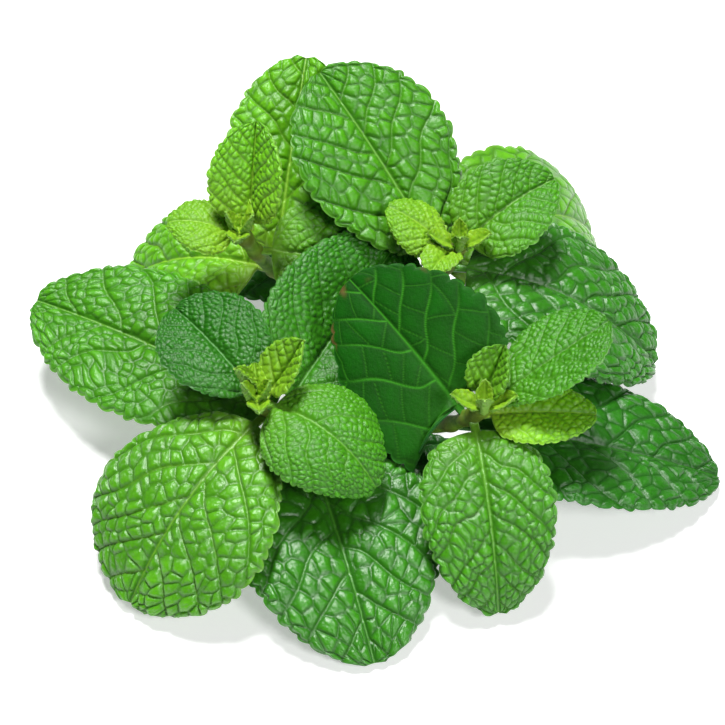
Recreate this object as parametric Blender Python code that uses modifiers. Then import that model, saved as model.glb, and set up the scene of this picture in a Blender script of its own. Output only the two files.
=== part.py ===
"""Cut mint plant: one pinched stem with four leafy side shoots, lying on a flat surface.

The main stem lies along Y with its cut end at +Y. Two side shoots leave it at its back
node and two at its front node. Each shoot rises to a tip that carries opposite leaves and
a bud, and its large lower leaves come down to the surface all round.
Metres, +Z up. The finished plant is centred over the origin with its lowest point at z = 0.
"""

import math
from dataclasses import dataclass

import bmesh
import bpy
import numpy as np
from mathutils import Vector

MM = 0.001

# Stems, in millimetres. Mint stems are square, so a diameter here is across the corners.
MAIN_STEM_DIAMETER = 4.2
SHOOT_STEM_DIAMETER = 2.8
NODE_SWELLING = 1.25
STEM_POINTS = 9

# Leaves, in millimetres. The blade is as thick as its quilting is deep.
PETIOLE_WIDTH = 1.8
PETIOLE_THICKNESS = 1.3
BLADE_THICKNESS = 0.8
PETIOLE_SHARE = 0.04
BLADE_TIP_WIDTH = 1.2
BLADE_FULLNESS = 0.5
BASE_LOBE = 0.04

BUD_LENGTH = 5.0
BUD_WIDTH = 3.4

# Gap left between pieces that grow out of one another.
CLEARANCE = 0.3

LARGE_ROWS, LARGE_COLUMNS = 11, 6
SMALL_ROWS, SMALL_COLUMNS = 8, 4
SMALL_LEAF_LENGTH = 18.0

COLOURS = {
    "mature_leaf": (0.075, 0.26, 0.03),
    "young_leaf": (0.16, 0.40, 0.05),
    "stem": (0.20, 0.33, 0.06),
}


@dataclass(frozen=True)
class Shoot:
    """A side shoot. root is its share of the main stem from the cut end, and tip its apex in mm."""

    name: str
    root: float
    tip: tuple
    lean: float = 0.35


@dataclass(frozen=True)
class Leaf:
    """One leaf. Angles are in degrees and sizes in millimetres.

    station: share of the stem from its root to the leaf's node
    heading: direction that it grows in, anticlockwise from +X as seen from above
    rise, tip_rise: slope of the midrib at the stem and at the leaf's tip
    roll: turn about the midrib, positive where the left edge is lifted
    fold: slope of each half beside the midrib, positive where the halves form a V
    arch: how far each half turns down from the midrib to its edge
    swerve: change of heading from the stem to the tip
    widest: share of the blade's length at which it is widest
    oblique: how much further the left half reaches back at the base, as a share of the length
    """

    name: str
    station: float
    heading: float
    rise: float
    tip_rise: float
    length: float
    width: float
    roll: float = 0.0
    fold: float = 10.0
    arch: float = 20.0
    swerve: float = 0.0
    widest: float = 0.43
    oblique: float = 0.0


MAIN_STEM = [(3, 66, 2.4), (2, 48, 2.6), (0, 30, 3.4), (-1, 14, 3.2), (0, -4, 3.4), (1, -11, 4.2)]

SHOOTS = [
    Shoot("front_left", 0.84, (-20, -23, 30)),
    Shoot("front_right", 0.86, (23, -25, 30)),
    Shoot("back_left", 0.44, (-24, 14, 38)),
    Shoot("back_right", 0.46, (19, 12, 36)),
]

LEAVES = {
    "main_stem": [
        Leaf("main_leaf_left", 0.37, 178, 12, -10, 33, 24, roll=-6, widest=0.50),
        Leaf("main_leaf_right", 0.98, -40, -2, -3, 33, 22, roll=-2, fold=0, arch=4, widest=0.60),
    ],
    "front_left": [
        Leaf("front_left_leaf_1a", 0.52, 146, 5, -7, 60, 33.5, roll=-14, arch=20, swerve=5, widest=0.52),
        Leaf("front_left_leaf_1b", 0.50, -73, 4, -33, 52, 40, roll=0, arch=22),
        Leaf("front_left_leaf_2a", 0.84, -131, 0, -58, 45, 40.5, roll=0, arch=34, widest=0.56),
        Leaf("front_left_leaf_2b", 0.66, 58, 12, 13, 43, 32, roll=24, fold=22, arch=8),
        Leaf("front_left_leaf_3a", 0.94, 131, 24, -4, 25, 22, roll=-10, fold=20, arch=20, widest=0.52),
        Leaf("front_left_leaf_3b", 0.94, -35, 26, -62, 28, 26, roll=2, fold=8, arch=46, widest=0.42),
        Leaf("front_left_leaf_4a", 0.97, 34, 40, 60, 13, 11, fold=30, arch=10),
        Leaf("front_left_leaf_4b", 0.99, -172, 66, 58, 7, 4.5, fold=40, arch=0),
    ],
    "front_right": [
        Leaf("front_right_leaf_1a", 0.62, 0, -8, -26, 54, 34, roll=0, arch=12),
        Leaf("front_right_leaf_1b", 0.80, 140, 38, 26, 33, 34, roll=-38, fold=4, arch=8, widest=0.34, oblique=0.36),
        Leaf("front_right_leaf_2a", 0.88, -81, -4, -72, 38, 26, roll=0, arch=26),
        Leaf("front_right_leaf_2b", 0.94, 25, 29, 20, 28, 21, roll=-12, fold=10, arch=14, widest=0.58),
        Leaf("front_right_leaf_3a", 0.90, 0, 8, -10, 21, 16, fold=12, arch=30),
        Leaf("front_right_leaf_3b", 0.97, 55, 50, 50, 11, 11, roll=0, fold=40, arch=10),
    ],
    "back_left": [
        Leaf("back_left_leaf_1a", 0.60, 80, 42, 28, 42, 27, roll=0, arch=18, widest=0.52),
        Leaf("back_left_leaf_1b", 0.80, -4, 4, -42, 30, 24, roll=30, arch=20),
        Leaf("back_left_leaf_2a", 0.60, 160, 4, -54, 35, 27, roll=-18, arch=20),
        Leaf("back_left_leaf_3a", 0.95, 82, 62, 48, 21, 18, roll=-12, fold=36, arch=14),
        Leaf("back_left_leaf_3b", 0.94, 176, 44, -20, 14, 15, fold=10, arch=40),
    ],
    "back_right": [
        Leaf("back_right_leaf_1a", 0.56, 36, 30, -64, 48, 34, roll=26, arch=18),
        Leaf("back_right_leaf_1b", 0.78, 132, 43, 28, 44, 33, roll=-10, fold=10, arch=14, widest=0.56),
        Leaf("back_right_leaf_2a", 0.80, -11, 5, -58, 48, 37, roll=0, arch=26),
        Leaf("back_right_leaf_3a", 0.94, 32, 38, -2, 23, 20, roll=20, fold=18, arch=16),
        Leaf("back_right_leaf_3b", 0.94, 160, 48, 10, 14, 14, fold=10, arch=50),
        Leaf("back_right_leaf_4a", 0.99, -118, 40, -20, 9, 8, fold=20, arch=20),
    ],
}


def clear_scene():
    for old in list(bpy.data.objects):
        bpy.data.objects.remove(old, do_unlink=True)


def material(name):
    made = bpy.data.materials.new(name)
    made.use_nodes = True
    shader = made.node_tree.nodes["Principled BSDF"]
    shader.inputs["Base Color"].default_value = (*COLOURS[name], 1)
    shader.inputs["Roughness"].default_value = 0.5
    shader.inputs["Metallic"].default_value = 0.0
    return made


def smooth_path(points, count):
    """count points on a Catmull-Rom curve through these, evenly spaced in its parameter."""
    points = np.array(points, float)
    ends = [2 * points[0] - points[1], 2 * points[-1] - points[-2]]
    knots = np.vstack([ends[0], points, ends[1]])
    spans = len(points) - 1
    found = []
    for at in np.linspace(0, spans, count):
        i = min(int(at), spans - 1)
        t = at - i
        a, b, c, d = knots[i : i + 4]
        found.append(
            0.5 * (2 * b + (c - a) * t + (2 * a - 5 * b + 4 * c - d) * t**2 + (3 * b - a - 3 * c + d) * t**3)
        )
    return np.array(found)


def point_on(path, share):
    """The place and direction at this share of the path's length."""
    steps = np.linalg.norm(np.diff(path, axis=0), axis=1)
    along = np.concatenate([[0], np.cumsum(steps)]) / steps.sum()
    place = np.array([np.interp(share, along, path[:, k]) for k in range(3)])
    i = min(int(np.searchsorted(along, share, side="right")) - 1, len(steps) - 1)
    return place, (path[i + 1] - path[i]) / steps[i]


def shoot_path(shoot, main_path):
    """From the main stem's surface, out and then up to the shoot's tip."""
    centre, along = point_on(main_path, shoot.root)
    tip = np.array(shoot.tip, float)
    outward = (tip - centre) * (1, 1, 0)
    outward /= np.linalg.norm(outward)
    reach = (MAIN_STEM_DIAMETER * NODE_SWELLING + SHOOT_STEM_DIAMETER) / 2 + CLEARANCE
    start = centre + outward * reach / np.linalg.norm(np.cross(outward, along)) + np.array([0, 0, 0.4])
    bend = start + (tip - start) * (1 - shoot.lean, 1 - shoot.lean, shoot.lean)
    share = np.linspace(0, 1, STEM_POINTS)[:, None]
    return (1 - share) ** 2 * start + 2 * share * (1 - share) * bend + share**2 * tip


def add_stem(name, path, diameter, nodes, shared):
    """A square tube along the path, swollen at these shares of its length."""
    curve = bpy.data.curves.new(name, "CURVE")
    curve.dimensions = "3D"
    curve.bevel_depth = diameter / 2 * MM
    curve.bevel_resolution = 0
    curve.use_fill_caps = True
    spline = curve.splines.new("POLY")
    spline.points.add(len(path) - 1)
    for point, place, share in zip(spline.points, path, np.linspace(0, 1, len(path))):
        point.co = (*(place * MM), 1)
        near = min((abs(share - node) for node in nodes), default=1)
        point.radius = NODE_SWELLING if near < 0.5 / len(path) else 1
    stem = bpy.data.objects.new(name, curve)
    stem.data.materials.append(shared)
    return stem


def half_width(leaf, share):
    """Half the leaf's width at this share of its length: a petiole, then a rounded blade."""
    blade = np.clip((share - PETIOLE_SHARE) / (1 - PETIOLE_SHARE), 0, 1)
    bulge = math.log(0.5) / math.log(leaf.widest)
    outline = np.sin(np.pi * blade**bulge) ** BLADE_FULLNESS * leaf.width / 2
    least = PETIOLE_WIDTH + (BLADE_TIP_WIDTH - PETIOLE_WIDTH) * share
    return np.maximum(outline, least / 2)


def row_shares(rows):
    """Where the rows of a leaf lie: its petiole, then the blade, closer at both ends."""
    blade = 0.5 - 0.5 * np.cos(np.pi * np.linspace(0, 1, rows))
    blade = 0.6 * blade + 0.4 * np.linspace(0, 1, rows)
    return np.concatenate([[0], PETIOLE_SHARE + (1 - PETIOLE_SHARE) * blade])


def directions(leaf, share):
    """Unit vectors along the midrib, to its left and up from it, at this share of the length."""
    heading = math.radians(leaf.heading + leaf.swerve * share)
    slope = math.radians(leaf.rise + (leaf.tip_rise - leaf.rise) * share)
    roll = math.radians(leaf.roll) * min(1, share / 0.1)
    level_part = math.cos(slope)
    forward = np.array([level_part * math.cos(heading), level_part * math.sin(heading), math.sin(slope)])
    level = np.array([-math.sin(heading), math.cos(heading), 0])
    normal = np.cross(forward, level)
    left = level * math.cos(roll) + normal * math.sin(roll)
    return forward, left, np.cross(forward, left)


def leaf_surface(leaf, base, rows, columns):
    """Points of the blade's middle surface, one row for each step along the midrib."""
    shares = row_shares(rows)
    surface = np.empty((len(shares), columns + 1, 3))
    across = np.linspace(-1, 1, columns + 1)
    step = 2 / columns
    place, last = np.array(base, float), 0.0
    for i, share in enumerate(shares):
        middle, _, _ = directions(leaf, (share + last) / 2)
        place = place + middle * (share - last) * leaf.length
        last = share
        forward, left, normal = directions(leaf, share)
        opened = min(1, max(0, share - PETIOLE_SHARE) / 0.12)
        back = forward * leaf.length * (1 - share) ** 2 * opened
        for side in (-1, 1):
            x = z = 0.0
            for q in across[across * side >= -1e-9][::side]:
                if abs(q) > 1e-9:
                    middle_q = abs(q) - step / 2
                    angle = math.radians(leaf.fold - leaf.arch * middle_q) * opened
                    x += step * math.cos(angle)
                    z += step * math.sin(angle)
                j = int(round((q + 1) / step))
                reach = half_width(leaf, share)
                lobe = BASE_LOBE + (leaf.oblique if side > 0 else 0)
                surface[i, j] = place + (left * side * x + normal * z) * reach - back * lobe * abs(q)
    return surface


def leaf_base(leaf, path, diameter):
    """Where the petiole starts: clear of the stem's corners by CLEARANCE."""
    place, tangent = point_on(path, leaf.station)
    forward, _, _ = directions(leaf, 0)
    outward = forward - tangent * (forward @ tangent)
    outward /= np.linalg.norm(outward)
    tilt = math.sqrt(max(0, 1 - (forward @ outward) ** 2))
    reach = diameter * NODE_SWELLING / 2 + CLEARANCE + PETIOLE_THICKNESS / 2 * tilt
    return place + outward * reach


def add_leaf(leaf, path, diameter, materials):
    """A grid bent to the leaf's surface and thickened, with a stout petiole and midrib."""
    small = leaf.length <= SMALL_LEAF_LENGTH
    rows, columns = (SMALL_ROWS, SMALL_COLUMNS) if small else (LARGE_ROWS, LARGE_COLUMNS)
    surface = leaf_surface(leaf, leaf_base(leaf, path, diameter), rows, columns)
    mesh = bpy.data.meshes.new(leaf.name)
    grid = bmesh.new()
    bmesh.ops.create_grid(grid, x_segments=rows, y_segments=columns, size=1)
    places = [(round((v.co.x + 1) / 2 * rows), round((v.co.y + 1) / 2 * columns)) for v in grid.verts]
    for vertex, (row, column) in zip(grid.verts, places):
        vertex.co = Vector(surface[row, column] * MM)
    grid.to_mesh(mesh)
    grid.free()
    blade = bpy.data.objects.new(leaf.name, mesh)
    stout = blade.vertex_groups.new(name="stout")
    for index, (row, column) in enumerate(places):
        rib = (1 - row / rows) * 0.6 if column == columns // 2 else 0
        stout.add([index], 1.0 if row <= 1 else rib, "REPLACE")
    shell = blade.modifiers.new("thickness", "SOLIDIFY")
    shell.thickness = PETIOLE_THICKNESS * MM
    shell.offset = 0
    shell.vertex_group = "stout"
    shell.thickness_vertex_group = BLADE_THICKNESS / PETIOLE_THICKNESS
    mesh.materials.append(materials["young_leaf" if leaf.length < 33 else "mature_leaf"])
    mesh.shade_smooth()
    return blade


def add_bud(name, path, shared):
    """The closed leaves at a shoot's tip: an egg that stands on the end of the stem."""
    tip, tangent = point_on(path, 1)
    mesh = bpy.data.meshes.new(name)
    egg = bmesh.new()
    bmesh.ops.create_uvsphere(egg, u_segments=8, v_segments=6, radius=0.5)
    for vertex in egg.verts:
        taper = 1 - 0.45 * (vertex.co.z + 0.5)
        vertex.co.x *= BUD_WIDTH * taper * MM
        vertex.co.y *= BUD_WIDTH * taper * MM
        vertex.co.z *= BUD_LENGTH * MM
    egg.to_mesh(mesh)
    egg.free()
    bud = bpy.data.objects.new(name, mesh)
    bud.rotation_euler = Vector(tangent).to_track_quat("Z", "Y").to_euler()
    bud.location = Vector((tip + tangent * (BUD_LENGTH / 2 + CLEARANCE)) * MM)
    mesh.materials.append(shared)
    mesh.shade_smooth()
    return bud


def set_down(plant, pieces):
    """Centres the plant over the origin and rests its lowest point on z = 0."""
    bpy.context.view_layer.update()
    graph = bpy.context.evaluated_depsgraph_get()
    corners = []
    for piece in pieces:
        shown = piece.evaluated_get(graph)
        mesh = shown.to_mesh()
        corners += [shown.matrix_world @ v.co for v in mesh.vertices]
        shown.to_mesh_clear()
    corners = np.array(corners)
    low, high = corners.min(axis=0), corners.max(axis=0)
    plant.location = Vector((-(low[0] + high[0]) / 2, -(low[1] + high[1]) / 2, -low[2]))


def main():
    clear_scene()
    collection = bpy.data.collections.new("cut_mint_plant")
    bpy.context.scene.collection.children.link(collection)
    materials = {name: material(name) for name in COLOURS}
    plant = bpy.data.objects.new("plant", None)
    collection.objects.link(plant)

    main_path = smooth_path(MAIN_STEM, 2 * STEM_POINTS)
    roots = [shoot.root for shoot in SHOOTS]
    pieces = [add_stem("main_stem", main_path, MAIN_STEM_DIAMETER, roots, materials["stem"])]
    for leaf in LEAVES["main_stem"]:
        pieces.append(add_leaf(leaf, main_path, MAIN_STEM_DIAMETER, materials))
    for shoot in SHOOTS:
        path = shoot_path(shoot, main_path)
        stations = [leaf.station for leaf in LEAVES[shoot.name]]
        stem_name = shoot.name + "_stem"
        pieces.append(add_stem(stem_name, path, SHOOT_STEM_DIAMETER, stations, materials["stem"]))
        pieces.append(add_bud(shoot.name + "_bud", path, materials["young_leaf"]))
        for leaf in LEAVES[shoot.name]:
            pieces.append(add_leaf(leaf, path, SHOOT_STEM_DIAMETER, materials))
    for piece in pieces:
        collection.objects.link(piece)
        piece.parent = plant
    set_down(plant, pieces)


main()
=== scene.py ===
"""Cut mint: the looks of the leaves, stems and buds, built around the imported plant.

Every leaf is a thin closed blade on the same curve as its CAD solid, with a toothed margin,
sunken veins and puffed cells between them. Lengths are in millimetres until a mesh is made.
"""

import math
from dataclasses import dataclass, field

import bpy
import numpy as np
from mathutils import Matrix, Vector


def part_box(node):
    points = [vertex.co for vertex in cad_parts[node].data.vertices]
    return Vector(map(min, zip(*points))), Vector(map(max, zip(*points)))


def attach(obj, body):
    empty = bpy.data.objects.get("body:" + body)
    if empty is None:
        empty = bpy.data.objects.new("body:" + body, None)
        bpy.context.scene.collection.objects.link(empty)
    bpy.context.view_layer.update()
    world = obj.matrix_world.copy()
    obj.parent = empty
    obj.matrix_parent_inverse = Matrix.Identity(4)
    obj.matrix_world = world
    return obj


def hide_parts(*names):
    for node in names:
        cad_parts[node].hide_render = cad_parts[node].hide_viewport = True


MM = 0.001
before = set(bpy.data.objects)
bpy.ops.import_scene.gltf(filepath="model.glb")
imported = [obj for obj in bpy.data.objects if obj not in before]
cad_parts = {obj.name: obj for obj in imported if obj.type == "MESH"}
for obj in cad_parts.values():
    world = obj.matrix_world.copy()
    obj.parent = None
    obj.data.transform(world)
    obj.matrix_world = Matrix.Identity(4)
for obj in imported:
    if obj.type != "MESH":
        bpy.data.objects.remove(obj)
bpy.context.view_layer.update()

# ---------------------------------------------------------------- sizes shared with the CAD

MAIN_STEM_DIAMETER = 4.2
SHOOT_STEM_DIAMETER = 2.8
NODE_SWELLING = 1.25
STEM_POINTS = 9
PETIOLE_WIDTH = 1.8
PETIOLE_THICKNESS = 1.3
PETIOLE_SHARE = 0.04
BLADE_FULLNESS = 0.5
BASE_LOBE = 0.04
CLEARANCE = 0.3
ROLL_SHARE = 0.1
OPENING_SHARE = 0.12
YOUNG_LEAF_LENGTH = 33.0

# Length, width, slope at the foot and slope at the tip of each pair of leaflets in a bud.
BUD_PAIRS = [(7.0, 4.8, 18, 46), (5.2, 3.6, 52, 76)]
BUD_PAIR_STEP = 0.4

# ---------------------------------------------------------------- sizes of the fine surface

# Grids along and across a blade. A young leaf's steps are YOUNG_GRID_SHARE as long, and steps get
# shorter towards the edge, as on a sine from 0 to EDGE_CROWDING.
GRID_STEP = 0.25
YOUNG_GRID_SHARE = 0.8
LEAST_ROWS = 30
LEAST_HALF_COLUMNS = 10
ORIGIN_GRID = (40, 20)
EDGE_CROWDING = 0.75 * math.pi / 2

BLADE_THICKNESS = 0.34
MARGIN_THICKNESS = 0.16
TIP_WIDTH = 0.3
PETIOLE_OVERLAP = 0.9

# The ribs that the veins make on the underside, and how much of the upper relief it repeats.
MID_RIB_HEIGHT = 0.9
MID_RIB_WIDTH = 0.55
SIDE_RIB_HEIGHT = 0.28
NET_RIB_HEIGHT = 0.10
UNDER_SHARE = 0.92

STEM_STEP = 0.5
STEM_SIDES = 32

# A stem's cross-section is a rounded square with a corner on top: 2 would be round and 1 sharp.
STEM_ROUNDNESS = 1.7
STEM_FULLNESS = 1.02
NODE_LENGTH = 1.6

# Rings that round off a stem's ends: share of the stem's size, and how far out in stem radii. The
# middle of each end stands out by a share of the stem's diameter.
STEM_END_RINGS = ((0.80, 0.12), (0.35, 0.18))
STEM_END_BULGE = 0.1

# Points on the stems' fine curves, and the lowest height of any leaf above the floor.
CURVE_POINTS = 160
SHOOT_CURVE_POINTS = 60
LOWEST = 0.02

FIRST_SEED = 8


@dataclass(frozen=True)
class Shoot:
    """A side shoot. root is its share of the main stem from the cut end, and tip its apex."""

    name: str
    root: float
    tip: tuple
    lean: float = 0.35


@dataclass(frozen=True)
class Look:
    """How one leaf's surface is quilted and coloured. Sizes in millimetres, shares 0 to 1.

    cell: width of the puffed cells
    puff: height of a cell above its veins
    crinkle: height of the finer bumps on the cells, as a share of puff
    pleat: height of the swelling between two side veins
    sink: depth of the side veins
    veins: number of side veins on each half
    tooth: length of a tooth along the margin
    bite: depth of the notches between teeth
    ruffle: height of the waves along the margin
    pale_veins: how much paler than the blade the vein net is
    dark: darkening of the blade, partly its own deeper green and partly painted shade
    lime: shift towards yellow-green
    hair: pale bloom of fine hair, 0 none to 6 heavy
    gloss: shine, 0 matt to about 1 glossy
    scorch: how far the margin near the tip is browned
    """

    cell: float = 2.4
    puff: float = 0.38
    crinkle: float = 0.30
    pleat: float = 0.35
    sink: float = 0.30
    veins: int = 8
    tooth: float = 3.0
    bite: float = 0.9
    ruffle: float = 0.35
    pale_veins: float = 0.25
    dark: float = 0.0
    lime: float = 0.0
    hair: float = 0.1
    gloss: float = 0.6
    scorch: float = 0.0


@dataclass(frozen=True)
class Leaf:
    """One leaf. Angles are in degrees and lengths in millimetres.

    station: share of the stem from its root to the leaf's node
    heading: direction that it grows in, anticlockwise from +X as seen from above
    rise, tip_rise: slope of the midrib at the stem and at the leaf's tip
    roll: turn about the midrib, positive where the left edge is lifted
    fold: slope of each half beside the midrib, positive where the halves form a V
    arch: how far each half turns down from the midrib to its edge
    swerve: change of heading from the stem to the tip
    widest: share of the blade's length at which it is widest
    oblique: how much further the left half reaches back at the base, as a share of the length
    shade: painted light and shade of this leaf's skin beside the others, with some of its own tone; lower
    where the leaf lies in shade, higher where light falls on it
    """

    name: str
    station: float
    heading: float
    rise: float
    tip_rise: float
    length: float
    width: float
    roll: float = 0.0
    fold: float = 10.0
    arch: float = 20.0
    swerve: float = 0.0
    widest: float = 0.43
    oblique: float = 0.0
    shade: float = 1.0
    look: Look = field(default_factory=Look)


MAIN_STEM = [(3, 66, 2.4), (2, 48, 2.6), (0, 30, 3.4), (-1, 14, 3.2), (0, -4, 3.4), (1, -11, 4.2)]

# Height of a side shoot's start above the middle of the main stem.
SHOOT_RISE = 0.4

SHOOTS = [
    Shoot("front_left", 0.84, (-20, -23, 30)),
    Shoot("front_right", 0.86, (23, -25, 30)),
    Shoot("back_left", 0.44, (-24, 14, 38)),
    Shoot("back_right", 0.46, (19, 12, 36)),
]

BROAD = Look(cell=3.0, puff=0.46, crinkle=0.28, pleat=0.40, sink=0.22, veins=5, gloss=0.85, hair=1.0)
QUILTED = Look(
    cell=2.6,
    puff=0.54,
    crinkle=0.32,
    pleat=0.36,
    sink=0.20,
    veins=5,
    pale_veins=0.35,
    hair=2.0,
    gloss=1.05,
)
# FLAT_DARK's deep green is partly the leaf's own colour and partly painted shade, for a leaf that faces away
# from the light.
FLAT_DARK = Look(
    cell=4.4,
    puff=0.07,
    pleat=0.12,
    sink=0.05,
    veins=4,
    pale_veins=1.0,
    dark=0.8,
    hair=0.0,
    gloss=0.1,
    scorch=1.0,
)
YOUNG = Look(
    cell=1.3,
    puff=0.36,
    crinkle=0.2,
    pleat=0.22,
    sink=0.12,
    veins=5,
    tooth=1.9,
    bite=0.55,
    ruffle=0.25,
    hair=0.3,
    gloss=0.7,
)
BUBBLY = Look(
    cell=1.2,
    puff=0.32,
    crinkle=0.15,
    pleat=0.15,
    sink=0.12,
    veins=5,
    tooth=1.5,
    bite=0.45,
    ruffle=0.2,
    lime=0.28,
    hair=0.3,
)
WRINKLED = Look(cell=1.9, puff=0.44, pleat=0.34, sink=0.16, veins=6, gloss=0.95, hair=1.0)
SHEENY = Look(cell=3.2, puff=0.46, crinkle=0.26, pleat=0.42, sink=0.24, veins=5, gloss=1.1, hair=3.0)
BLOOMY = Look(cell=3.1, puff=0.22, crinkle=0.08, pleat=0.2, sink=0.12, veins=5, hair=6.0)
TINY = Look(
    cell=0.9,
    puff=0.14,
    pleat=0.1,
    sink=0.06,
    veins=4,
    tooth=1.2,
    bite=0.25,
    ruffle=0.1,
    lime=0.8,
    hair=0.3,
)

# A leaf's shade is painted light and shade with some of its own tone: leaves in shade are darkened and
# well-lit ones brightened.
LEAVES = {
    "main_stem": [
        # These two leaves lie under the others where there is only shade; their low shade paints it dark.
        Leaf("main_leaf_left", 0.37, 178, 12, -10, 33, 24, roll=-6, widest=0.50, shade=0.4, look=BROAD),
        Leaf(
            "main_leaf_right", 0.98, -40, -2, -3, 33, 22, roll=-2, fold=0, arch=4, widest=0.60,
            shade=0.3, look=BROAD,
        ),
    ],
    "front_left": [
        Leaf(
            "front_left_leaf_1a", 0.52, 146, 5, -7, 60, 33.5, roll=-14, arch=20, swerve=5,
            widest=0.52, shade=0.78, look=BROAD,
        ),
        Leaf("front_left_leaf_1b", 0.50, -73, 4, -33, 52, 40, arch=22, shade=0.56, look=SHEENY),
        Leaf(
            "front_left_leaf_2a", 0.84, -131, 0, -58, 45, 40.5, arch=34, widest=0.56, shade=0.86,
            look=QUILTED,
        ),
        Leaf(
            "front_left_leaf_2b", 0.66, 58, 12, 13, 43, 32, roll=24, fold=22, arch=8, shade=0.55,
            look=YOUNG,
        ),
        Leaf(
            "front_left_leaf_3a", 0.94, 131, 24, -4, 25, 22, roll=-10, fold=20, arch=20,
            widest=0.52, shade=0.42, look=YOUNG,
        ),
        Leaf(
            "front_left_leaf_3b", 0.94, -35, 26, -62, 28, 26, roll=2, fold=8, arch=46, widest=0.42,
            shade=0.72, look=YOUNG,
        ),
        Leaf("front_left_leaf_4a", 0.97, 34, 40, 60, 13, 11, fold=30, arch=10, look=BUBBLY),
        Leaf("front_left_leaf_4b", 0.99, -172, 66, 58, 7, 4.5, fold=40, arch=0, look=BUBBLY),
    ],
    "front_right": [
        Leaf("front_right_leaf_1a", 0.62, 0, -8, -26, 54, 34, arch=12, shade=0.42, look=BROAD),
        Leaf(
            "front_right_leaf_1b", 0.80, 140, 38, 26, 33, 34, roll=-38, fold=4, arch=8, widest=0.34,
            oblique=0.36, shade=0.36, look=FLAT_DARK,
        ),
        Leaf("front_right_leaf_2a", 0.88, -81, -4, -72, 38, 26, arch=26, shade=0.72, look=WRINKLED),
        Leaf(
            "front_right_leaf_2b", 0.94, 25, 29, 20, 28, 21, roll=-12, fold=10, arch=14,
            widest=0.58, shade=0.7, look=YOUNG,
        ),
        Leaf("front_right_leaf_3a", 0.90, 0, 8, -10, 21, 16, fold=12, arch=30, shade=1.2, look=BUBBLY),
        Leaf("front_right_leaf_3b", 0.97, 55, 50, 50, 11, 11, fold=40, arch=10, shade=0.8, look=BUBBLY),
    ],
    "back_left": [
        Leaf("back_left_leaf_1a", 0.60, 80, 42, 28, 42, 27, arch=18, widest=0.52, shade=1.1, look=BROAD),
        Leaf("back_left_leaf_1b", 0.80, -4, 4, -42, 30, 24, roll=30, arch=20, shade=0.8, look=YOUNG),
        Leaf("back_left_leaf_2a", 0.60, 160, 4, -54, 35, 27, roll=-18, arch=20, shade=1.25, look=BROAD),
        Leaf(
            "back_left_leaf_3a", 0.95, 82, 62, 48, 21, 18, roll=-12, fold=36, arch=14, shade=1.2,
            look=YOUNG,
        ),
        Leaf("back_left_leaf_3b", 0.94, 176, 44, -20, 14, 15, fold=10, arch=40, look=BUBBLY),
    ],
    "back_right": [
        Leaf("back_right_leaf_1a", 0.56, 36, 30, -64, 48, 34, roll=26, arch=18, shade=0.95, look=BLOOMY),
        Leaf(
            "back_right_leaf_1b", 0.78, 132, 43, 28, 44, 33, roll=-10, fold=10, arch=14,
            widest=0.56, shade=0.76, look=BROAD,
        ),
        Leaf("back_right_leaf_2a", 0.80, -11, 5, -58, 48, 37, arch=26, shade=0.52, look=QUILTED),
        Leaf(
            "back_right_leaf_3a", 0.94, 32, 38, -2, 23, 20, roll=20, fold=18, arch=16, shade=0.76,
            look=YOUNG,
        ),
        Leaf("back_right_leaf_3b", 0.94, 160, 48, 10, 14, 14, fold=10, arch=50, look=BUBBLY),
        Leaf("back_right_leaf_4a", 0.99, -118, 40, -20, 9, 8, fold=20, arch=20, look=BUBBLY),
    ],
}

# ---------------------------------------------------------------- the plant's curves, as in the CAD


def smooth_path(points, count):
    """count points on a Catmull-Rom curve through these, evenly spaced in its parameter."""
    points = np.array(points, float)
    ends = [2 * points[0] - points[1], 2 * points[-1] - points[-2]]
    knots = np.vstack([ends[0], points, ends[1]])
    spans = len(points) - 1
    found = []
    for at in np.linspace(0, spans, count):
        i = min(int(at), spans - 1)
        t = at - i
        a, b, c, d = knots[i : i + 4]
        found.append(
            0.5 * (2 * b + (c - a) * t + (2 * a - 5 * b + 4 * c - d) * t**2 + (3 * b - a - 3 * c + d) * t**3)
        )
    return np.array(found)


def point_on(path, share):
    """The place and direction at this share of the path's length."""
    steps = np.linalg.norm(np.diff(path, axis=0), axis=1)
    along = np.concatenate([[0], np.cumsum(steps)]) / steps.sum()
    place = np.array([np.interp(share, along, path[:, k]) for k in range(3)])
    i = min(int(np.searchsorted(along, share, side="right")) - 1, len(steps) - 1)
    return place, (path[i + 1] - path[i]) / steps[i]


def shoot_path(shoot, main_path, count=STEM_POINTS):
    """From the main stem's surface, out and then up to the shoot's tip."""
    centre, along = point_on(main_path, shoot.root)
    tip = np.array(shoot.tip, float)
    outward = (tip - centre) * (1, 1, 0)
    outward /= np.linalg.norm(outward)
    reach = (MAIN_STEM_DIAMETER * NODE_SWELLING + SHOOT_STEM_DIAMETER) / 2 + CLEARANCE
    start = centre + outward * reach / np.linalg.norm(np.cross(outward, along)) + np.array([0, 0, SHOOT_RISE])
    bend = start + (tip - start) * (1 - shoot.lean, 1 - shoot.lean, shoot.lean)
    share = np.linspace(0, 1, count)[:, None]
    return (1 - share) ** 2 * start + 2 * share * (1 - share) * bend + share**2 * tip


def half_width(leaf, share):
    """Half the blade's width at this share of the leaf's length."""
    blade = np.clip((share - PETIOLE_SHARE) / (1 - PETIOLE_SHARE), 0, 1)
    bulge = math.log(0.5) / math.log(leaf.widest)
    return np.sin(np.pi * blade**bulge) ** BLADE_FULLNESS * leaf.width / 2


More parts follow.
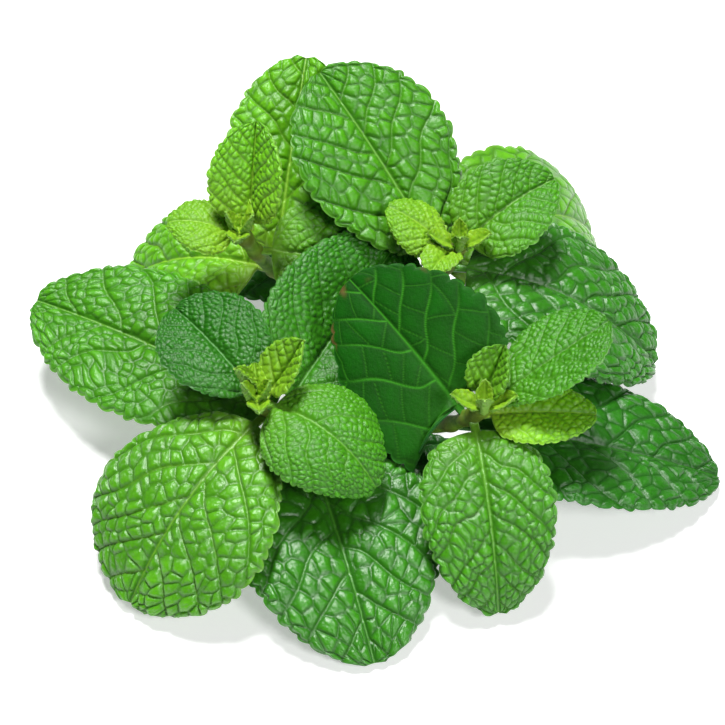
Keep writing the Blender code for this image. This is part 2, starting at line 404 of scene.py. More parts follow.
def directions(leaf, share):
    """Unit vectors along the midrib, to its left and up from it, for an array of shares."""
    heading = np.radians(leaf.heading + leaf.swerve * share)
    slope = np.radians(leaf.rise + (leaf.tip_rise - leaf.rise) * share)
    roll = math.radians(leaf.roll) * np.clip(share / ROLL_SHARE, 0, 1)
    flat = np.cos(slope)
    forward = np.stack([flat * np.cos(heading), flat * np.sin(heading), np.sin(slope)], axis=-1)
    level = np.stack([-np.sin(heading), np.cos(heading), np.zeros_like(heading)], axis=-1)
    normal = np.cross(forward, level)
    left = level * np.cos(roll)[:, None] + normal * np.sin(roll)[:, None]
    return forward, left, np.cross(forward, left)


def leaf_base(leaf, path, diameter):
    """Where the petiole starts: clear of the stem's corners by CLEARANCE."""
    place, tangent = point_on(path, leaf.station)
    forward = directions(leaf, np.array([0.0]))[0][0]
    outward = forward - tangent * (forward @ tangent)
    outward /= np.linalg.norm(outward)
    tilt = math.sqrt(max(0, 1 - (forward @ outward) ** 2))
    reach = diameter * NODE_SWELLING / 2 + CLEARANCE + PETIOLE_THICKNESS / 2 * tilt
    return place + outward * reach


def plant_origin(paths):
    """The row frame's place of the design's origin, from the CAD boxes of the leaves."""
    gaps = []
    for stem, leaves in LEAVES.items():
        diameter = MAIN_STEM_DIAMETER if stem == "main_stem" else SHOOT_STEM_DIAMETER
        for leaf in leaves:
            points = middle_surface(leaf, leaf_base(leaf, paths[stem], diameter), *ORIGIN_GRID)[0]
            points = points.reshape(-1, 3)
            low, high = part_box(leaf.name)
            gaps.append((np.array(low) + np.array(high)) / 2 / MM - (points.min(0) + points.max(0)) / 2)
    return np.median(gaps, axis=0)


def middle_surface(leaf, base, rows, columns):
    """Middle surface of the blade: points [row, column], their shares, and their places across, -1 to 1."""
    shares = np.linspace(0, 1, rows + 1)
    steps = np.diff(shares)
    middles = directions(leaf, (shares[1:] + shares[:-1]) / 2)[0] * (steps * leaf.length)[:, None]
    spine = np.array(base) + np.vstack([np.zeros(3), np.cumsum(middles, axis=0)])
    forward, left, normal = directions(leaf, shares)
    opened = np.clip((shares - PETIOLE_SHARE) / OPENING_SHARE, 0, 1)
    across = np.sin(np.linspace(-1, 1, columns + 1) * EDGE_CROWDING) / math.sin(EDGE_CROWDING)
    points = np.empty((rows + 1, columns + 1, 3))
    half = columns // 2
    reach = np.maximum(half_width(leaf, shares), (PETIOLE_WIDTH * (1 - shares) + TIP_WIDTH * shares) / 2)
    back = forward * (leaf.length * (1 - shares) ** 2 * opened)[:, None]
    for side in (-1, 1):
        x = np.zeros(rows + 1)
        z = np.zeros(rows + 1)
        points[:, half] = spine
        for step in range(1, half + 1):
            j = half + side * step
            q, last = abs(across[j]), abs(across[j - side])
            angle = np.radians(leaf.fold - leaf.arch * (q + last) / 2) * opened
            x += (q - last) * np.cos(angle)
            z += (q - last) * np.sin(angle)
            lobe = BASE_LOBE + (leaf.oblique if side > 0 else 0)
            points[:, j] = spine + (left * (side * x)[:, None] + normal * z[:, None]) * reach[:, None]
            points[:, j] -= back * (lobe * q)
    return points, shares, across, reach


# ---------------------------------------------------------------- the blade's relief

# Side veins. SLANT is how far towards the tip they run for each millimetre from the midrib, at the
# leaf's foot, and SLANT_GAIN what is added at its tip. WANDER is a share of their spacing, WANDER_SIZE
# of the leaf's width, and STAGGER how far the right half's veins start from the left half's.
VEIN_SLANT = 0.75
VEIN_SLANT_GAIN = 0.30
VEIN_CURVE = 0.16
VEIN_WANDER = 0.24
WANDER_SIZE = 0.45
VEIN_STAGGER = 0.42
VEIN_SINE = 0.72

# Cells between the veins, in cells or shares of one. A cell of another band counts as OUT_OF_REACH.
CELL_TABLE = 240
OUT_OF_REACH = 99.0
FAR = 9.0
SAME_PLACE = 1e-6
CELL_JITTER = 0.42
CELL_STRETCH = (0.95, 0.15)
WALL_WIDTH = 0.085
CROWN_SHARE = 0.55
CROWN_REACH = 0.8
HEIGHT_SPREAD = 0.30
WRINKLES_PER_CELL = 2.2
WRINKLE_WANDER = 0.35
WRINKLE_WIDTH = 0.2

# Troughs on the upper side and the lines painted along them, in millimetres.
SIDE_TROUGH_WIDTH = 0.30
MID_TROUGH_WIDTH = 0.8
MID_TROUGH_DEPTH = 0.55
MIDRIB_HALF = 0.3
NET_LINE = 0.12
SIDE_LINE = 0.15
MID_LINE_TIP = 0.12
MID_LINE_FOOT = 0.34
ROOT_GLOW_LENGTH = 6.0

# Teeth: unevenness of their lengths and sizes, how far each leans towards the tip, and the share of
# the half blade beyond which the surface follows them.
TOOTH_UNEVENNESS = 0.22
TOOTH_SIZE_SPREAD = 0.3
TOOTH_LEAN = 0.5
TOOTH_REACH = 0.80


def smoothstep(low, high, x):
    """0 below low, 1 above high and smooth between them."""
    t = np.clip((x - low) / (high - low), 0, 1)
    return t * t * (3 - 2 * t)


def ridge(distance, width, power=2.0):
    """1 on a line, falling towards 0 at about this distance from it."""
    return np.exp(-((distance / width) ** power))


def waves(rng, x, y, size, count=6):
    """Smooth random waves about this size, from -1 to 1."""
    total = np.zeros_like(x)
    for _ in range(count):
        angle = rng.uniform(0, 2 * math.pi)
        length = size * rng.uniform(0.7, 1.5)
        phase = rng.uniform(0, 2 * math.pi)
        total += np.sin((x * math.cos(angle) + y * math.sin(angle)) * 2 * math.pi / length + phase)
    return total / count * 1.4


def cell_walls(rng, rows_at, along, band_rows):
    """Distance to the nearest wall of an uneven honeycomb, distance to the cell's centre, and its tone.

    rows_at: place across the side veins, in cell rows; along: place along them, in cells
    band_rows: rows of cells between two side veins, which no cell crosses, or None
    """
    jog = rng.uniform(-CELL_JITTER, CELL_JITTER, (CELL_TABLE, CELL_TABLE, 2))
    i0 = np.floor(rows_at).astype(int)
    j0 = np.floor(along).astype(int)
    near = []
    for di in (-2, -1, 0, 1, 2):
        for dj in (-2, -1, 0, 1, 2):
            i = i0 + di
            j = j0 + dj
            picked = jog[i % CELL_TABLE, j % CELL_TABLE]
            cx = i + 0.5 + picked[..., 0]
            cy = j + 0.5 + picked[..., 1] + 0.5 * (i % 2) - 0.25
            distance = (cx - rows_at) ** 2 + (cy - along) ** 2
            if band_rows:
                elsewhere = np.floor((i + 0.5) / band_rows) != np.floor(rows_at / band_rows)
                distance = distance + OUT_OF_REACH * elsewhere
            near.append((distance, cx, cy, picked[..., 0] + picked[..., 1]))
    distances, cxs, cys, tints = (np.stack([n[k] for n in near]) for k in range(4))
    first = distances.argmin(axis=0)[None]
    c1x, c1y, tone = (np.take_along_axis(stack, first, 0)[0] for stack in (cxs, cys, tints))
    apart = np.hypot(cxs - c1x, cys - c1y)
    off = ((cxs + c1x) / 2 - rows_at) * (cxs - c1x) + ((cys + c1y) / 2 - along) * (cys - c1y)
    other = (apart > SAME_PLACE) & (distances < OUT_OF_REACH)
    off = np.where(other, off / np.maximum(apart, SAME_PLACE), FAR)
    return off.min(axis=0), np.sqrt(distances.min(axis=0)), tone / CELL_JITTER


def side_veins(leaf, rng, share, q, x):
    """Number of the side vein at each point, whole on a vein, and the veins' spacing along the midrib."""
    spacing = leaf.length / (leaf.look.veins + 0.5)
    slant = VEIN_SLANT + VEIN_SLANT_GAIN * share
    y = share * leaf.length
    wander = waves(rng, x * np.sign(q) + 50, y, leaf.width * WANDER_SIZE) * spacing * VEIN_WANDER
    start = y - x * slant - x * x * (VEIN_CURVE / leaf.width) + wander * smoothstep(0, 4, x)
    return start / spacing + np.where(q > 0, 0.0, VEIN_STAGGER), spacing


def quilting(leaf, rng, share, q, x, vein, spacing):
    """The cells' width, and at each point how far its wall, centre and nearest wrinkle are, and its tone."""
    band = spacing * VEIN_SINE
    band_rows = max(1, round(band / leaf.look.cell))
    cell = band / band_rows
    signed = x * np.sign(q)
    y = share * leaf.length
    jog_x = waves(rng, signed, y, 5 * cell, 8) * WRINKLE_WANDER
    jog_y = waves(rng, signed + 30, y + 9, 4 * cell, 8) * WRINKLE_WANDER
    along = (VEIN_SINE * x + math.sqrt(1 - VEIN_SINE**2) * y) / cell
    along = along * (CELL_STRETCH[0] + CELL_STRETCH[1] * np.abs(q)) + jog_y
    walls, finer = np.full(q.shape, FAR), np.full(q.shape, FAR)
    centres, tones = np.zeros_like(q), np.zeros_like(q)
    for side in (-1, 1):
        mine = (q > 0) == (side > 0)
        wall, centre, tone = cell_walls(rng, vein * band_rows, along, band_rows)
        across = vein * band_rows * WRINKLES_PER_CELL + jog_x
        small, _, _ = cell_walls(rng, across, along * WRINKLES_PER_CELL, None)
        walls = np.where(mine, wall, walls)
        centres = np.where(mine, centre, centres)
        finer = np.where(mine, small, finer)
        tones = np.where(mine, tone, tones)
    return cell, walls, centres, finer, tones


def relief(leaf, rng, share, q, reach):
    """Height of the blade's upper side and its painted values at each point, from the leaf's venation."""
    look = leaf.look
    x = np.abs(q) * reach
    vein, spacing = side_veins(leaf, rng, share, q, x)
    off_vein = np.abs(vein - np.round(vein)) * spacing * VEIN_SINE
    cell, walls, centres, finer, tones = quilting(leaf, rng, share, q, x, vein, spacing)
    off_net = walls * cell
    off_any = np.minimum(np.minimum(off_net, off_vein), np.maximum(x - MIDRIB_HALF, 0))
    fade = smoothstep(0.03, 0.14, share)
    crown = 1 - CROWN_SHARE + CROWN_SHARE * (1 - np.clip(centres / CROWN_REACH, 0, 1) ** 2)
    dome = (1 - ridge(off_any, WALL_WIDTH * cell, 1.4)) * crown
    little = 1 - ridge(finer, WRINKLE_WIDTH, 1.3)
    cells = look.puff * (dome * (1 + HEIGHT_SPREAD * tones) + look.crinkle * little * dome)
    swell = look.pleat * np.abs(np.sin(np.pi * vein)) ** 0.7 * smoothstep(0.3, 3, x)
    thin = 1 - 0.7 * smoothstep(0.5, 0.95, np.abs(q))
    sunk = look.sink * ridge(off_vein, SIDE_TROUGH_WIDTH) * thin
    trough = MID_TROUGH_DEPTH * ridge(x, MID_TROUGH_WIDTH) * (1 - 0.8 * share)
    edge = 1 - 0.75 * smoothstep(0.93, 1.0, np.abs(q))
    height = (cells + swell - sunk) * fade * edge - trough
    browned = smoothstep(0.2, 0.5, waves(rng, x * np.sign(q) + 9, share * leaf.length, 7.0))
    browned = browned * smoothstep(0.7, 0.8, share) * smoothstep(0.90, 0.98, np.maximum(np.abs(q), share))
    paint = {
        "net": ridge(off_net, NET_LINE) * fade,
        "side": ridge(off_vein, SIDE_LINE) * thin,
        "mid": ridge(x, MID_LINE_TIP + MID_LINE_FOOT * (1 - share) ** 1.3),
        # dome: 0 in the grooves between cells and up to 1 on their crowns; the skin uses it for painted shade
        # in the grooves.
        "dome": dome * (0.75 + 0.25 * little) * (1 + 0.22 * tones),
        "rim": smoothstep(0.955, 0.995, np.abs(q)),
        "root": np.exp(-share * leaf.length / ROOT_GLOW_LENGTH),
        # Each leaf's painted light and shade, with some of its own tone, for the skin.
        "shade": np.full_like(q, leaf.shade),
        "scorch": look.scorch * browned,
    }
    return height, paint


def margin(leaf, rng, share, q, reach):
    """How far the margin's teeth move each point: outwards, and onwards to the tip."""
    look = leaf.look
    rows = share[:, 0]
    outward = np.zeros_like(q)
    onward = np.zeros_like(q)
    for side in (-1, 1):
        edge = np.hypot(np.gradient(rows * leaf.length), np.gradient(reach[:, 0]))
        travelled = np.cumsum(edge)
        count = max(4, round(travelled[-1] / look.tooth))
        phase = travelled / travelled[-1] * count
        phase = phase + TOOTH_UNEVENNESS * np.sin(phase * 1.7 + rng.uniform(0, 6)) + rng.uniform(0, 1)
        part = phase - np.floor(phase)
        size = 1 + TOOTH_SIZE_SPREAD * np.sin(np.floor(phase) * 2.4 + side)
        bump = np.clip(np.sin(np.pi * part**0.8), 0, 1) ** 0.55 * size
        calm = smoothstep(0.03, 0.16, rows) * (1 - 0.5 * smoothstep(0.93, 1.0, rows))
        near = smoothstep(TOOTH_REACH, 1.0, np.abs(q)) * ((q > 0) == (side > 0))
        outward += near * (look.bite * (bump - 0.7) * calm)[:, None]
        onward += near * (look.bite * TOOTH_LEAN * (bump - 0.5) * calm)[:, None]
    return outward, onward


# ---------------------------------------------------------------- meshes


def linked_object(name, mesh, material, paints):
    """Puts a smooth-shaded mesh with painted values into the scene."""
    mesh.validate()
    mesh.shade_smooth()
    for key, values in paints.items():
        layer = mesh.attributes.new(key, "FLOAT", "POINT")
        layer.data.foreach_set("value", np.asarray(values, np.float32).ravel())
    mesh.materials.append(material)
    made = bpy.data.objects.new(name, mesh)
    bpy.context.scene.collection.objects.link(made)
    return made


def quad_mesh(name, points, faces):
    """A mesh of quads from points in millimetres."""
    mesh = bpy.data.meshes.new(name)
    mesh.vertices.add(len(points))
    mesh.vertices.foreach_set("co", (np.asarray(points) * MM).astype(np.float32).ravel())
    loops = faces.shape[1]
    mesh.loops.add(faces.size)
    mesh.loops.foreach_set("vertex_index", faces.astype(np.int32).ravel())
    mesh.polygons.add(len(faces))
    mesh.polygons.foreach_set("loop_start", np.arange(0, faces.size, loops, dtype=np.int32))
    mesh.update(calc_edges=True)
    return mesh


def grid_faces(rows, columns, start=0, flip=False):
    """Quads of a grid of (rows + 1) by (columns + 1) points."""
    corner = start + (np.arange(rows)[:, None] * (columns + 1) + np.arange(columns)).ravel()
    quads = np.stack([corner, corner + columns + 1, corner + columns + 2, corner + 1], axis=1)
    return quads if flip else quads[:, ::-1]


def rim_faces(rows, columns, second):
    """Quads that join the borders of two equal grids, whose points start at 0 and at second."""
    width = columns + 1
    ring = [np.arange(columns), np.arange(rows) * width + columns]
    ring += [rows * width + np.arange(columns, 0, -1), np.arange(rows, 0, -1) * width]
    ring = np.concatenate(ring)
    after = np.roll(ring, -1)
    quads = np.stack([ring, after, after + second, ring + second], axis=1)
    return quads[:, ::-1]


def surface_normals(points):
    """Unit normals of a grid of points, and its steps along the rows and across the columns."""
    along = np.gradient(points, axis=0)
    across = np.gradient(points, axis=1)
    normal = np.cross(along, across)
    return normal / np.maximum(np.linalg.norm(normal, axis=-1, keepdims=True), 1e-9), along, across


def leaf_shell(leaf, base, rng):
    """Points, quads and painted values of a thin closed blade with veins, cells and teeth."""
    step = GRID_STEP * (YOUNG_GRID_SHARE if leaf.length < YOUNG_LEAF_LENGTH else 1.0)
    rows = max(LEAST_ROWS, round(leaf.length / step))
    columns = 2 * max(LEAST_HALF_COLUMNS, round(leaf.width / step / 2))
    points, shares, across, reach = middle_surface(leaf, base, rows, columns)
    share = np.broadcast_to(shares[:, None], points.shape[:2])
    q = np.broadcast_to(across, points.shape[:2])
    width = np.broadcast_to(reach[:, None], points.shape[:2])
    normal, along, sideways = surface_normals(points)
    along /= np.maximum(np.linalg.norm(along, axis=-1, keepdims=True), 1e-9)
    sideways /= np.maximum(np.linalg.norm(sideways, axis=-1, keepdims=True), 1e-9)
    outward, onward = margin(leaf, rng, share, q, width)
    height, paint = relief(leaf, rng, share, q, width)
    x, y = q * width, share * leaf.length
    wavy = waves(rng, x, y, leaf.width * WANDER_SIZE) * leaf.look.ruffle * smoothstep(0.3, 1.0, np.abs(q))
    wavy = wavy * smoothstep(0.05, 0.3, share)
    points = points + sideways * (outward * np.sign(q))[..., None] + along * onward[..., None]
    points = points + normal * wavy[..., None]
    points[0] -= along[0] * PETIOLE_OVERLAP
    round_off = np.sqrt(np.clip(1 - q**2, 0, 1))
    stalk = 1 - smoothstep(0.02, 0.14, share)
    blade = MARGIN_THICKNESS + (BLADE_THICKNESS - MARGIN_THICKNESS) * smoothstep(0, 0.12, 1 - np.abs(q))
    thick = blade * (1 - stalk) + PETIOLE_THICKNESS * round_off * stalk
    rib = MID_RIB_HEIGHT * (1 - share) ** 0.8 * ridge(x, MID_RIB_WIDTH) * (1 - stalk)
    ribs = SIDE_RIB_HEIGHT * paint["side"] + NET_RIB_HEIGHT * paint["net"]
    top = points + normal * (height + thick / 2)[..., None]
    under = points + normal * (height * UNDER_SHARE - thick / 2 - rib - ribs * (1 - stalk))[..., None]
    grid = (rows + 1) * (columns + 1)
    verts = np.concatenate([top.reshape(-1, 3), under.reshape(-1, 3)])
    upper, lower = grid_faces(rows, columns, 0, True), grid_faces(rows, columns, grid)
    faces = np.concatenate([upper, lower, rim_faces(rows, columns, grid)])
    flags = {key: np.concatenate([v.ravel(), v.ravel()]) for key, v in paint.items()}
    flags["under"] = np.concatenate([np.zeros(grid), np.ones(grid)])
    return verts, faces, flags


def build_leaf(leaf, path, diameter, origin, material, seed):
    """One leaf's visible piece, kept just above the surface that the plant lies on."""
    verts, faces, flags = leaf_shell(leaf, leaf_base(leaf, path, diameter), np.random.default_rng(seed))
    verts = verts + origin
    verts[:, 2] = np.maximum(verts[:, 2], LOWEST)
    name = leaf.name + "_blade"
    piece = linked_object(name, quad_mesh(name, verts, faces), material, flags)
    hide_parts(leaf.name)
    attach(piece, "root")


def build_stem(name, path, diameter, stations, origin, material):
    """A rounded square stem, swollen at its nodes."""
    length = np.linalg.norm(np.diff(path, axis=0), axis=1).sum()
    count = max(12, round(length / STEM_STEP))
    shares = np.linspace(0, 1, count)
    places = np.array([point_on(path, s)[0] for s in shares])
    tangent = np.gradient(places, axis=0)
    tangent /= np.linalg.norm(tangent, axis=1, keepdims=True)
    side = np.cross(tangent, [0, 0, 1.0])
    side /= np.maximum(np.linalg.norm(side, axis=1, keepdims=True), 1e-6)
    up = np.cross(side, tangent)
    turn = np.linspace(0, 2 * math.pi, STEM_SIDES, endpoint=False)
    spread = np.abs(np.cos(turn)) ** STEM_ROUNDNESS + np.abs(np.sin(turn)) ** STEM_ROUNDNESS
    corner = spread ** (-1 / STEM_ROUNDNESS)
    swell = np.ones(count)
    node = np.zeros(count)
    for station in stations:
        near = ridge((shares - station) * length, NODE_LENGTH)
        swell = np.maximum(swell, 1 + (NODE_SWELLING - 1) * near)
        node = np.maximum(node, near)
    radius = diameter / 2 * swell[:, None] * corner[None] * STEM_FULLNESS
    ring = side[:, None] * np.cos(turn)[None, :, None] + up[:, None] * np.sin(turn)[None, :, None]
    body = places[:, None] + ring * radius[..., None]
    domes = []
    for end, sign in ((0, -1), (-1, 1)):
        for shrink, out in STEM_END_RINGS:
            at = places[end] + tangent[end] * sign * out * diameter / 2
            domes.append((end, at + (body[end] - places[end]) * shrink))
    rings = np.concatenate([[domes[1][1], domes[0][1]], body, [domes[2][1], domes[3][1]]])
    bulge = STEM_END_BULGE * diameter
    tips = np.array([places[0] - tangent[0] * bulge, places[-1] + tangent[-1] * bulge])
    total = len(rings)
    verts = np.concatenate([rings.reshape(-1, 3), tips]) + origin
    i = np.arange(total - 1)[:, None] * STEM_SIDES
    j = np.arange(STEM_SIDES)
    after = (j + 1) % STEM_SIDES
    quads = np.stack([(i + j), (i + after), (i + STEM_SIDES + after), (i + STEM_SIDES + j)], axis=-1)
    quads = quads.reshape(-1, 4)
    tris = [(total * STEM_SIDES, a, b) for a, b in zip(after, j)]
    last = (total - 1) * STEM_SIDES
    tris += [(total * STEM_SIDES + 1, last + a, last + b) for a, b in zip(j, after)]
    node_paint = np.concatenate([np.repeat(node[:1], 2), node, np.repeat(node[-1:], 2)])
    node_paint = np.concatenate([np.repeat(node_paint, STEM_SIDES), [node[0], node[-1]]])
    mesh = bpy.data.meshes.new(name + "_skin")
    mesh.from_pydata([tuple(v) for v in verts * MM], [], [tuple(f) for f in quads] + [tuple(t) for t in tris])
    piece = linked_object(name + "_skin", mesh, material, {"node": node_paint})
    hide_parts(name)
    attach(piece, "root")


def build_bud(name, path, origin, material, seed):
    """The youngest leaves at a shoot's tip: crossed pairs of small cupped leaflets."""
    rng = np.random.default_rng(seed)
    tip, tangent = point_on(path, 1)
    facing = math.degrees(math.atan2(tangent[1], tangent[0]))
    parts = []
    for pair, (length, width, rise, tip_rise) in enumerate(BUD_PAIRS):
        for turn in (0, 180):
            heading = facing + 45 + 90 * pair + turn
            leaflet = Leaf(
                name, 1, heading, rise, tip_rise, length, width, fold=24, arch=4, widest=0.45, look=TINY
            )
            forward = directions(leaflet, np.zeros(1))[0][0]
            start = tip + tangent * BUD_PAIR_STEP * pair + forward * CLEARANCE
            parts.append(leaf_shell(leaflet, start, rng))
    verts, faces, flags = [], [], {key: [] for key in parts[0][2]}
    for points, quads, paint in parts:
        faces.append(quads + sum(len(v) for v in verts))
        verts.append(points)
        for key, values in paint.items():
            flags[key].append(values)
    flags = {key: np.concatenate(values) for key, values in flags.items()}
    mesh = quad_mesh(name + "_leaflets", np.concatenate(verts) + origin, np.concatenate(faces))
    piece = linked_object(name + "_leaflets", mesh, material, flags)
    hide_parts(name)
    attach(piece, "root")


# ---------------------------------------------------------------- materials

# The first green is painted shade in the grooves between the puffed cells; the second is the cells' own green
# on their crowns.
GROOVE_SHADE_GREEN = (0.034, 0.170, 0.001)
CROWN_GREEN = (0.115, 0.40, 0.003)
SPECKLE_GREEN = (0.12, 0.34, 0.006)
VEIN_GREEN = (0.22, 0.44, 0.03)
FOOT_GREEN = (0.30, 0.48, 0.03)
RIM_GREEN = (0.22, 0.44, 0.04)
UNDERSIDE_GREEN = (0.16, 0.34, 0.07)
SCORCH_BROWN = (0.16, 0.075, 0.03)
STEM_DARK = (0.08, 0.20, 0.01)
STEM_LIGHT = (0.18, 0.34, 0.03)
NODE_BROWN = (0.12, 0.065, 0.02)


class Nodes:
    """Short calls that add and link shader nodes."""

    def __init__(self, name):
        self.material = bpy.data.materials.new(name)
        self.material.use_nodes = True
        self.tree = self.material.node_tree
        self.shader = self.tree.nodes["Principled BSDF"]

    def add(self, kind, **settings):
        """A new shader node of this kind."""
        node = self.tree.nodes.new("ShaderNode" + kind)
        for key, value in settings.items():
            setattr(node, key, value)
        return node

    def put(self, value, socket):
        """Links an output to this socket, or sets a plain value on it."""
        if isinstance(value, bpy.types.NodeSocket):
            self.tree.links.new(value, socket)
        else:
            socket.default_value = value

    def attribute(self, name):
        """A value painted on the mesh."""
        return self.add("Attribute", attribute_name=name).outputs["Fac"]

    def math(self, operation, a, b=0.0, clamp=False):
        """The result of one operation on two values."""
        node = self.add("Math", operation=operation, use_clamp=clamp)
        self.put(a, node.inputs[0])
        self.put(b, node.inputs[1])
        return node.outputs[0]

    def mix(self, share, a, b):
        """Colour a, with this share of colour b."""
        node = self.add("Mix", data_type="RGBA")
        self.put(share, node.inputs["Factor"])
        self.put(a, node.inputs["A"])
        self.put(b, node.inputs["B"])
        return node.outputs["Result"]

    def shaded(self, value, amount):
        """Brightens or darkens a colour by the leaf's painted light and shade; a darker leaf is also a bluer
        green.
        """
        amounts = self.add("CombineXYZ")
        self.put(self.math("MINIMUM", self.math("POWER", amount, 2.2), amount), amounts.inputs["X"])
        self.put(amount, amounts.inputs["Y"])
        self.put(amount, amounts.inputs["Z"])
        node = self.add("VectorMath", operation="MULTIPLY")
        self.put(value, node.inputs[0])
        self.put(amounts.outputs["Vector"], node.inputs[1])
        return node.outputs["Vector"]

    def noise(self, scale, detail=3.0, roughness=0.5):
        """Soft spots, about scale of them to a metre."""
        place = self.add("TexCoord").outputs["Object"]
        node = self.add("TexNoise")
        self.put(place, node.inputs["Vector"])
        node.inputs["Scale"].default_value = scale
        node.inputs["Detail"].default_value = detail
        node.inputs["Roughness"].default_value = roughness
        return node.outputs["Fac"]

    def stretch(self, value, low, high):
        """This value's range from low to high, spread over 0 to 1."""
        node = self.add("MapRange", clamp=True)
        self.put(value, node.inputs["Value"])
        node.inputs["From Min"].default_value = low
        node.inputs["From Max"].default_value = high
        return node.outputs["Result"]

    def bump(self, height, distance, strength):
        """Fine roughness of the surface, distance deep in metres."""
        node = self.add("Bump")
        self.put(height, node.inputs["Height"])
        node.inputs["Distance"].default_value = distance
        node.inputs["Strength"].default_value = strength
        self.put(node.outputs["Normal"], self.shader.inputs["Normal"])


def colour(red, green, blue):
    """An opaque colour."""
    return (red, green, blue, 1.0)


def leaf_material(look, name):
    """Leaf skin: deep green cells with painted shade in the grooves between them, paler veins, yellow-green
    base, thin pale rim, a fine bloom, and each leaf's painted light and shade.
    """
    n = Nodes(name)
    # deep darkens the blade for look.dark: partly the leaf's own deeper green, partly painted shade.
    deep = 1 - 0.45 * look.dark
    # low is the painted shade in the grooves between the cells, high the cells' own green.
    red, green, blue = GROOVE_SHADE_GREEN
    low = colour(red * deep + 0.05 * look.lime, green * deep + 0.09 * look.lime, blue)
    red, green, blue = CROWN_GREEN
    high = colour((red - 0.07 * look.dark) * deep + 0.14 * look.lime, green * deep + 0.12 * look.lime, blue)
    patch = n.stretch(n.noise(55, 3), 0.3, 0.7)
    speckle = n.stretch(n.noise(900, 2), 0.3, 0.7)
    patchy = n.math("ADD", 0.7, n.math("MULTIPLY", patch, 0.4))
    # Painted shade: darkest green in the grooves between the cells, lighter towards their crowns, with random
    # patches.
    dome = n.math("MULTIPLY", n.attribute("dome"), patchy, clamp=True)
    body = n.mix(dome, low, high)
    body = n.mix(n.math("MULTIPLY", speckle, 0.12), body, colour(*SPECKLE_GREEN))
    pale = 1 + 0.9 * look.dark
    vein_colour = colour(VEIN_GREEN[0] * pale, VEIN_GREEN[1] * pale, VEIN_GREEN[2])
    net = n.math("MULTIPLY", n.attribute("net"), (0.40 + 0.1 * look.dark) * look.pale_veins)
    side = n.math("MULTIPLY", n.attribute("side"), min(1.0, 0.30 + 0.6 * look.pale_veins))
    mid = n.math("MULTIPLY", n.attribute("mid"), 0.85)
    lines = n.math("MAXIMUM", n.math("MAXIMUM", net, side), mid)
    body = n.mix(lines, body, vein_colour)
    root = n.math("MULTIPLY", n.attribute("root"), 0.7)
    body = n.mix(root, body, colour(*FOOT_GREEN))
    rim = n.math("MULTIPLY", n.attribute("rim"), 0.4)
    body = n.mix(rim, body, colour(*RIM_GREEN))
    body = n.mix(n.math("MULTIPLY", n.attribute("under"), 0.6), body, colour(*UNDERSIDE_GREEN))
    # Each leaf's painted light and shade, with some of its own tone.
    body = n.shaded(body, n.attribute("shade"))
    body = n.mix(n.attribute("scorch"), body, colour(*SCORCH_BROWN))
    n.put(body, n.shader.inputs["Base Color"])
    rough = n.math("ADD", 0.46 - 0.20 * look.gloss, n.math("MULTIPLY", n.noise(400, 3), 0.16))
    n.put(rough, n.shader.inputs["Roughness"])
    n.shader.inputs["Specular IOR Level"].default_value = 0.08 + 0.45 * look.gloss
    n.shader.inputs["Sheen Weight"].default_value = 0.05 * look.hair
    n.shader.inputs["Sheen Roughness"].default_value = 0.4
    n.shader.inputs["Subsurface Weight"].default_value = 0.15 + 0.2 * look.lime
    n.shader.inputs["Subsurface Radius"].default_value = (0.0005, 0.0012, 0.0002)
    n.bump(n.noise(1600, 4, 0.65), 0.00022, 0.6)
    return n.material


def stem_material():
    """Stem skin: mottled pale green, browned at the nodes."""
    n = Nodes("stem_skin")
    fine = n.stretch(n.noise(700, 3), 0.3, 0.7)
    body = n.mix(fine, colour(*STEM_DARK), colour(*STEM_LIGHT))
    body = n.mix(n.math("MULTIPLY", n.attribute("node"), 0.45), body, colour(*NODE_BROWN))
    n.put(body, n.shader.inputs["Base Color"])
    n.shader.inputs["Roughness"].default_value = 0.5
    n.shader.inputs["Specular IOR Level"].default_value = 0.2
    n.bump(n.noise(1500, 3), 0.0002, 0.5)
    return n.material


def floor_material():
    """The plain pale floor, a little bright by itself so that it stays white."""
    n = Nodes("floor")
    n.shader.inputs["Base Color"].default_value = colour(0.80, 0.80, 0.80)
    n.shader.inputs["Emission Color"].default_value = colour(1, 1, 1)
    n.shader.inputs["Emission Strength"].default_value = 0.42
    n.shader.inputs["Roughness"].default_value = 0.9
    n.shader.inputs["Specular IOR Level"].default_value = 0.1
    return n.material


# ---------------------------------------------------------------- stage

CAMERA_AIM_HEIGHT = 15.0
CAMERA_DISTANCE = 560.0
CAMERA_ELEVATION = 48.0
CAMERA_LENS = 139.03
SENSOR_WIDTH = 36.0
CLIP_RANGE = (0.01, 20.0)

# Floor and lights, in metres and watts. Every light faces LIGHT_AIM.
FLOOR_SIZE = 6.0
FLOOR_DROP = 0.0002
WORLD_STRENGTH = 0.08
LIGHT_AIM = (0, 0, 0.02)
LIGHTS = {
    "key": {"place": (-0.10, 0.30, 1.2), "size": 0.36, "power": 23.5},
    "front": {"place": (0.50, -0.75, 0.85), "size": 0.35, "power": 8.0},
}


def add_camera(origin):
    """The camera, in front of the plant and looking down on it."""
    data = bpy.data.cameras.new("camera")
    data.lens = CAMERA_LENS
    data.sensor_width = SENSOR_WIDTH
    data.clip_start, data.clip_end = CLIP_RANGE
    camera = bpy.data.objects.new("camera", data)
    bpy.context.scene.collection.objects.link(camera)
    tilt = math.radians(CAMERA_ELEVATION)
    back = Vector((0, -math.cos(tilt), math.sin(tilt)))
    aim = Vector(origin) + Vector((0, 0, CAMERA_AIM_HEIGHT))
    camera.location = (aim + back * CAMERA_DISTANCE) * MM
    camera.rotation_euler = (-back).to_track_quat("-Z", "Y").to_euler()
    bpy.context.scene.camera = camera


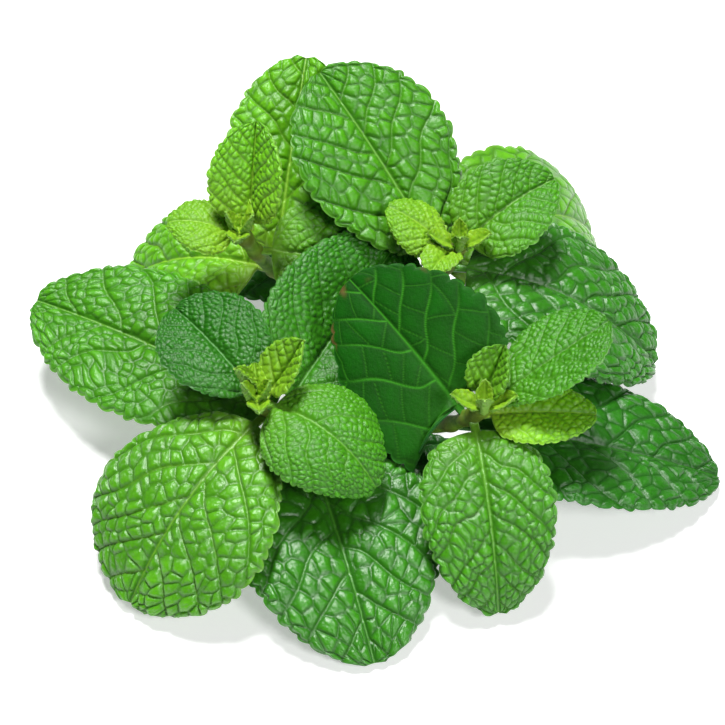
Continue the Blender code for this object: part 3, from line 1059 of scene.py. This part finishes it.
def add_light(name, place, size, power):
    """A soft round light."""
    data = bpy.data.lights.new(name, "AREA")
    data.shape = "DISK"
    data.size = size
    data.energy = power
    light = bpy.data.objects.new(name, data)
    bpy.context.scene.collection.objects.link(light)
    light.location = place
    light.rotation_euler = (Vector(LIGHT_AIM) - Vector(place)).to_track_quat("-Z", "Y").to_euler()


def add_stage():
    """The floor, the world and the lights."""
    bpy.ops.mesh.primitive_plane_add(size=FLOOR_SIZE, location=(0, 0, -FLOOR_DROP))
    floor = bpy.context.object
    floor.name = "floor"
    floor.data.materials.append(floor_material())
    world = bpy.data.worlds.new("studio")
    bpy.context.scene.world = world
    world.use_nodes = True
    background = world.node_tree.nodes["Background"]
    background.inputs["Color"].default_value = colour(1, 1, 1)
    background.inputs["Strength"].default_value = WORLD_STRENGTH
    for name, settings in LIGHTS.items():
        add_light(name, **settings)
    bpy.context.scene.view_settings.view_transform = "Standard"


def main():
    """Builds every leaf, stem and bud, then the stage and the camera."""
    main_path = smooth_path(MAIN_STEM, 2 * STEM_POINTS)
    paths = {"main_stem": main_path}
    for shoot in SHOOTS:
        paths[shoot.name] = shoot_path(shoot, main_path)
    origin = plant_origin(paths)
    skin = stem_material()
    looks = {}
    seed = FIRST_SEED
    for stem, leaves in LEAVES.items():
        diameter = MAIN_STEM_DIAMETER if stem == "main_stem" else SHOOT_STEM_DIAMETER
        for leaf in leaves:
            if leaf.look not in looks:
                looks[leaf.look] = leaf_material(leaf.look, f"leaf_skin_{len(looks)}")
            build_leaf(leaf, paths[stem], diameter, origin, looks[leaf.look], seed)
            seed += 1
    fine_main = smooth_path(MAIN_STEM, CURVE_POINTS)
    build_stem("main_stem", fine_main, MAIN_STEM_DIAMETER, [s.root for s in SHOOTS], origin, skin)
    bud_skin = leaf_material(TINY, "bud_skin")
    for shoot in SHOOTS:
        fine = shoot_path(shoot, main_path, SHOOT_CURVE_POINTS)
        stations = [leaf.station for leaf in LEAVES[shoot.name]]
        build_stem(shoot.name + "_stem", fine, SHOOT_STEM_DIAMETER, stations, origin, skin)
        build_bud(shoot.name + "_bud", fine, origin, bud_skin, seed)
        seed += 1
    add_stage()
    add_camera(origin)


main()
